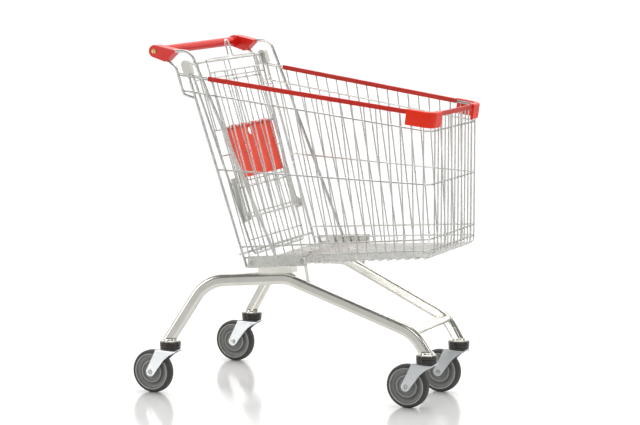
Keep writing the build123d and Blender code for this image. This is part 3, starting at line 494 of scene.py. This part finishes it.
def all_segments(nodes):
    """Every straight stretch of the nodes' wires: start, end, radius and solid number."""
    rows, solid_number = [], 0
    for node in nodes:
        bm, solids = solids_of(node)
        for solid in solids:
            points, radius = centreline(solid)
            rows += [(a, b, radius, solid_number) for a, b in zip(points, points[1:])]
            solid_number += 1
        bm.free()
    return rows


def crossings(rows):
    """Where wires of different solids touch: a point on each, and both radii."""
    start = np.array([r[0] for r in rows])
    run = np.array([r[1] for r in rows]) - start
    radius = np.array([r[2] for r in rows])
    solid = np.array([r[3] for r in rows])
    found = {}
    for i in range(len(rows) - 1):
        w = start[i] - start[i + 1:]
        u, v = run[i], run[i + 1:]
        a, b, c = u @ u, v @ u, np.einsum("ij,ij->i", v, v)
        d, e = w @ u, np.einsum("ij,ij->i", v, w)
        spread = a * c - b * b
        s = np.clip(np.where(spread > 1e-12, (b * e - c * d) / np.maximum(spread, 1e-12), 0), 0, 1)
        t = np.clip((b * s + e) / c, 0, 1)
        s = np.clip((b * t - d) / a, 0, 1)
        p = start[i] + s[:, None] * u
        q = start[i + 1:] + t[:, None] * v
        gap = np.linalg.norm(p - q, axis=1)
        cosine = np.abs(b) / np.sqrt(a * c)
        near = (gap < radius[i] + radius[i + 1:] + 0.0003) & (solid[i + 1:] != solid[i])
        near &= cosine < PARALLEL
        for j in np.flatnonzero(near):
            key = (solid[i], solid[i + 1 + j])
            if key not in found or gap[j] < found[key][0]:
                found[key] = (gap[j], Vector(p[j]), Vector(q[j]), radius[i], radius[i + 1 + j])
    return [row[1:] for row in found.values()]


def weld_beads(body, nodes):
    """A small squeezed-out bead at each place where two wires are welded."""
    bm = bmesh.new()
    for p, q, radius_p, radius_q in crossings(all_segments(nodes)):
        link = q - p
        thin = min(radius_p, radius_q)
        if link.length < 0.5 * (radius_p + radius_q):
            continue
        place = p + link * (radius_p / (radius_p + radius_q))
        turn = link.to_track_quat("Z", "Y").to_matrix().to_4x4()
        spread = thin * random.uniform(0.80, 0.98)
        size = Matrix.Diagonal((spread, spread * random.uniform(0.85, 1.0), thin * WELD_SQUASH, 1))
        spin = Matrix.Rotation(random.uniform(0, math.pi), 4, "Z")
        bmesh.ops.create_icosphere(bm, subdivisions=2, radius=1,
                                   matrix=Matrix.Translation(place) @ turn @ spin @ size)
    new_piece(body + "_welds", mesh_from(bm, body + "_welds"), WELD, body=body)


# ---- casters ----
REPLACED = {"swivel_collars", "caster_sockets", "corner_bumpers"} | {
    f"{name}_{part}" for name in CASTERS for part in ("tyre", "wheel", "fork", "axle")}
PLACES = {joint["name"]: Vector(joint["pos_m"]) for joint in frame["joints"]}


def caster(name):
    axle = PLACES[name + "_roll"]
    swivel = PLACES[name + "_swivel"]
    side = 1 if axle.y > 0 else -1
    along = Vector((0, 1, 0))
    tyre_low, tyre_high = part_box(name + "_tyre")
    radius, half = (tyre_high.z - tyre_low.z) / 2, (tyre_high.y - tyre_low.y) / 2

    tread = [(radius - 12 * MM, -half + 2 * MM), (radius - 9.6 * MM, -half), (radius - 4 * MM, -half),
             (radius, -half + 8 * MM), (radius, -0.8 * MM), (radius - 0.4 * MM, -0.3 * MM),
             (radius - 0.4 * MM, 0.3 * MM), (radius, 0.8 * MM), (radius, half - 8 * MM),
             (radius - 4 * MM, half), (radius - 9.6 * MM, half), (radius - 12 * MM, half - 2 * MM)]
    bends = [0, 1 * MM, 4 * MM, 6 * MM, 0, 0, 0, 0, 6 * MM, 4 * MM, 1 * MM, 0]
    bm = bmesh.new()
    lathe(bm, rounded(tread, bends), axle, along, 96)
    new_piece(name + "_tread", mesh_from(bm, "tread"), TYRE_GREY, name + "_tyre")

    rim = radius - 9.8 * MM
    half_centre = [
        (rim - 2.5 * MM, 0), (rim - 2.5 * MM, half - 2.4 * MM), (rim, half - 1.6 * MM),
        (rim, half - 0.6 * MM), (rim - 2.6 * MM, half - 0.4 * MM), (rim - 3.6 * MM, half - 4.0 * MM),
        (rim - 6.4 * MM, half - 8.0 * MM), (rim - 12 * MM, half - 8.8 * MM),
        (rim - 19 * MM, half - 7.5 * MM), (rim - 20.6 * MM, half - 2.6 * MM),
        (rim - 24.5 * MM, half - 2.2 * MM), (rim - 26 * MM, half - 7 * MM),
        (rim - 34 * MM, half - 6 * MM), (rim - 38 * MM, half - 0.4 * MM), (4.2 * MM, half - 0.2 * MM),
    ]
    mirrored = [(r, -a) for r, a in reversed(half_centre[1:])]
    bends = [0, 0, 0.5, 0.6, 0.9, 1, 4, 4, 3, 1, 1, 2, 2, 1, 0.3]
    bends = [b * MM for b in bends + list(reversed(bends[1:]))]
    bm = bmesh.new()
    lathe(bm, rounded(half_centre + mirrored, bends, 3), axle, along, 72)
    nylon = wheel_grey(name + "_wheel_grey", axle)
    new_piece(name + "_centre", mesh_from(bm, "centre"), nylon, name + "_wheel")

    fork_low, fork_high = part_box(name + "_fork")
    outer = (fork_high.y - fork_low.y) / 2
    sheet = 2.5 * MM
    top, low = fork_high.z, axle.z - 16 * MM
    section = rounded([(-outer, low), (-outer, top), (outer, top), (outer, low),
                       (outer - sheet, low), (outer - sheet, top - sheet),
                       (sheet - outer, top - sheet), (sheet - outer, low)],
                      [0, 4.5 * MM, 4.5 * MM, 0, 0, 2 * MM, 2 * MM, 0])
    bm = bmesh.new()
    axes = (Vector((0, 1, 0)), Vector((0, 0, 1)))
    ends = [(Vector((x, axle.y, 0)), *axes) for x in (fork_low.x - 0.01, fork_high.x + 0.01)]
    loft(bm, ends, section)
    channel = mesh_from(bm, "channel")
    end_radius, crown_rear = 13.6 * MM, 40 * MM
    front, rear = fork_high.x, swivel.x - crown_rear
    outline = [Vector((rear, top + 0.01)), Vector((rear, top - 4 * MM))]
    for degrees in range(166, 322, 6):
        angle = math.radians(degrees)
        outline.append(Vector((axle.x + end_radius * math.cos(angle),
                               axle.z + end_radius * math.sin(angle))))
    knee, corner = Vector((swivel.x - 16 * MM, top - 35 * MM)), Vector((front, top - 5 * MM))
    bend = Vector((swivel.x + 1 * MM, top - 15 * MM))
    for i in range(9):
        t = i / 8
        outline.append(knee * (1 - t) ** 2 + bend * (2 * t * (1 - t)) + corner * t ** 2)
    outline.append(Vector((front, top + 0.01)))
    bm = bmesh.new()
    reach = Vector((0, 0.04, 0))
    prism(bm, [Vector((p.x, axle.y, p.y)) for p in outline], -reach, reach)
    blank = mesh_from(bm, "blank")
    fork = new_piece(name + "_pressing", common_part(channel, blank, name), PRESSING, name + "_fork",
                     smooth=30)
    bevel(fork, 0.5 * MM, 2, 35)

    bm = bmesh.new()
    face = outer
    head = [(0.6 * MM, face - 0.5 * MM), (7.2 * MM, face - 0.5 * MM), (7.2 * MM, face + 0.8 * MM),
            (5.6 * MM, face + 2.0 * MM), (4.4 * MM, face + 2.1 * MM), (3.4 * MM, face + 0.4 * MM),
            (0.6 * MM, face - 0.2 * MM)]
    lathe(bm, rounded(head, [0, 0, 0.5 * MM, 0.8 * MM, 0.4 * MM, 0.6 * MM, 0]), axle,
          Vector((0, side, 0)), 40)
    shank = [(0.6 * MM, -face - 7.2 * MM), (3.3 * MM, -face - 7.2 * MM), (3.9 * MM, -face - 6.6 * MM),
             (3.9 * MM, face), (0.6 * MM, face)]
    lathe(bm, shank, axle, Vector((0, side, 0)), 40)
    nut = [Vector((axle.x + 7.4 * MM * math.cos(k * math.pi / 3), axle.y,
                   axle.z + 7.4 * MM * math.sin(k * math.pi / 3))) for k in range(6)]
    away = Vector((0, -side, 0))
    prism(bm, nut, away * face, away * (face + 5.6 * MM))
    bolt = new_piece(name + "_bolt", mesh_from(bm, "bolt"), FASTENER, name + "_axle")
    bevel(bolt, 0.4 * MM, 2, 50)


def collars_and_sockets():
    low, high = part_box("swivel_collars")
    tall = high.z - low.z
    bm_collar, bm_socket = bmesh.new(), bmesh.new()
    up = Vector((0, 0, 1))
    wide = high.y - PLACES["rear_left_swivel"].y
    collar = [(6, 0), (wide / MM - 3.6, 0), (wide / MM - 1.6, 1.4), (wide / MM - 0.9, 5.6),
              (wide / MM - 2.3, 6.2), (wide / MM - 2.3, 7.8), (wide / MM - 0.6, 8.4),
              (wide / MM - 0.2, 13.2), (wide / MM - 1.8, 13.8), (wide / MM - 1.8, 15.4),
              (wide / MM, 16.0), (wide / MM, tall / MM - 2.2), (wide / MM - 1.8, tall / MM), (6, tall / MM)]
    socket_low, socket_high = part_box("caster_sockets")
    thick = (socket_high.z - socket_low.z) / MM
    edge = (socket_high.y - PLACES["rear_left_swivel"].y) / MM
    cup = thick + 4.6    # the socket's upper step, round the foot of its tube
    socket = [(6.2, 0), (edge, 0), (edge, 3.4), (edge - 1.4, 4.4), (edge - 3.0, 4.8),
              (edge - 4.2, cup - 0.8), (edge - 5.6, cup), (6.2, cup)]
    for name in CASTERS:
        place = PLACES[name + "_swivel"]
        foot = Vector((place.x, place.y, low.z))
        lathe(bm_collar, rounded([(r * MM, a * MM) for r, a in collar],
                                 [0] + [0.6 * MM] * 12 + [0], 3), foot, up, 64)
        foot = Vector((place.x, place.y, socket_low.z))
        lathe(bm_socket, rounded([(r * MM, a * MM) for r, a in socket],
                                 [0, 0.5 * MM, 0.5 * MM, 0.4 * MM, 0.4 * MM, 0.4 * MM, 0.4 * MM, 0], 3),
              foot, up, 64)
    new_piece("collars", mesh_from(bm_collar, "collars"), COLLAR_BLACK, "swivel_collars")
    new_piece("sockets", mesh_from(bm_socket, "sockets"), TUBE, "caster_sockets")


# ---- red trim ----
def bumpers():
    low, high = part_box("corner_bumpers")
    front_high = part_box("rim_profile_front")[1]
    points, _ = centreline_of_longest("rim_sides")
    run = points[-1] - points[0]
    taper, slope = abs(run.y / run.x), run.z / run.x
    tall, lip = 44 * MM, 16 * MM
    section = rounded([(1.0 * MM, -tall), (0, -tall * 0.5), (0, 0), (lip, 0), (lip, -3 * MM),
                       (8.2 * MM, -3.4 * MM), (8.2 * MM, -tall)],
                      [2.2 * MM, 20 * MM, 5 * MM, 1.2 * MM, 0.8 * MM, 1.5 * MM, 1.5 * MM], 6)
    face_x, back_x = high.x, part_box("rim_profile_sides")[1].x + 0.3 * MM
    bend = 32 * MM
    for side in (1, -1):
        back = Vector((back_x, high.y - taper * (back_x - low.x)))
        corner = Vector((face_x, high.y - taper * (face_x - low.x)))
        end = Vector((face_x, front_high.y))
        route = [back]
        to_back, to_end = (back - corner).normalized(), (end - corner).normalized()
        half_angle = to_back.angle(to_end) / 2
        reach = bend / math.tan(half_angle)
        centre = corner + (to_back + to_end).normalized() * bend / math.sin(half_angle)
        a = math.atan2(*(corner + to_back * reach - centre).yx)
        b = math.atan2(*(corner + to_end * reach - centre).yx)
        route += [centre + bend * Vector((math.cos(a + (b - a) * k / 24), math.sin(a + (b - a) * k / 24)))
                  for k in range(25)]
        route.append(end)
        frames = []
        for i, point in enumerate(route):
            before, after = route[max(i - 1, 0)], route[min(i + 1, len(route) - 1)]
            if 0 < i < len(route) - 1:
                tangent = ((point - before).normalized() + (after - point).normalized()).normalized()
            else:
                tangent = (after - before).normalized()
            inward = Vector((tangent.y, -tangent.x))
            if inward.dot(centre - point) < 0:
                inward = -inward
            z = high.z + slope * (point.x - low.x)
            tilt = Vector((-slope, 0, 1)).normalized()
            level = Vector((inward.x, side * inward.y, slope * inward.x))
            frames.append((Vector((point.x, side * point.y, z)), level, tilt))
        bm = bmesh.new()
        loft(bm, frames, section)
        name = ("left" if side > 0 else "right") + "_bumper"
        piece = new_piece(name, mesh_from(bm, name), BUMPER_RED, body="trolley")
        bevel(piece, 0.8 * MM, 2, 60)
        yield piece


def centreline_of_longest(node):
    bm, solids = solids_of(node)
    lines = [centreline(solid) for solid in solids]
    bm.free()
    return max(lines, key=lambda line: (line[0][-1] - line[0][0]).length)


# ---- the whole trolley ----
random.seed(7)
WIRES = ["side_wires", "front_wires", "floor_cross_wires", "floor_long_wires", "ring_fronts", "ring_sides",
         "rim_fronts", "rim_sides"]
RODS = ["corner_rods", "rear_cross_rods", "upper_handle_rods", "lower_handle_rods"]
GATE = ["gate_wires", "gate_cross_wires", "gate_side_rods", "gate_hinge_bar", "gate_bottom_rod"]
SEAT = ["seat_side_rods", "seat_cross_bars", "seat_wires", "seat_hook_wire"]
WELDED = {"trolley": WIRES + RODS, "gate": GATE, "seat_back": SEAT}

for body_name, welded in WELDED.items():
    weld_beads(body_name, welded)
for caster_name in CASTERS:
    caster(caster_name)
collars_and_sockets()
for bumper in list(bumpers()):
    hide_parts("corner_bumpers")

for cad_node, cad_object in NODES.items():
    if cad_object.get("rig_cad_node") in REPLACED:
        continue
    slot = SLOTS[cad_node]
    if cad_node in ("side_plates", "crossmember", "support_struts"):
        keep(cad_node, 0.5 * MM, PLATE)
    elif slot in ("basket_wire", "chassis_steel"):
        keep(cad_node, 0.5 * MM)
    elif slot.endswith("_red") or slot == "hinge_grey":
        keep(cad_node, 1.2 * MM)
    else:
        keep(cad_node, 0.4 * MM)

make_camera()
make_light()
make_floor()
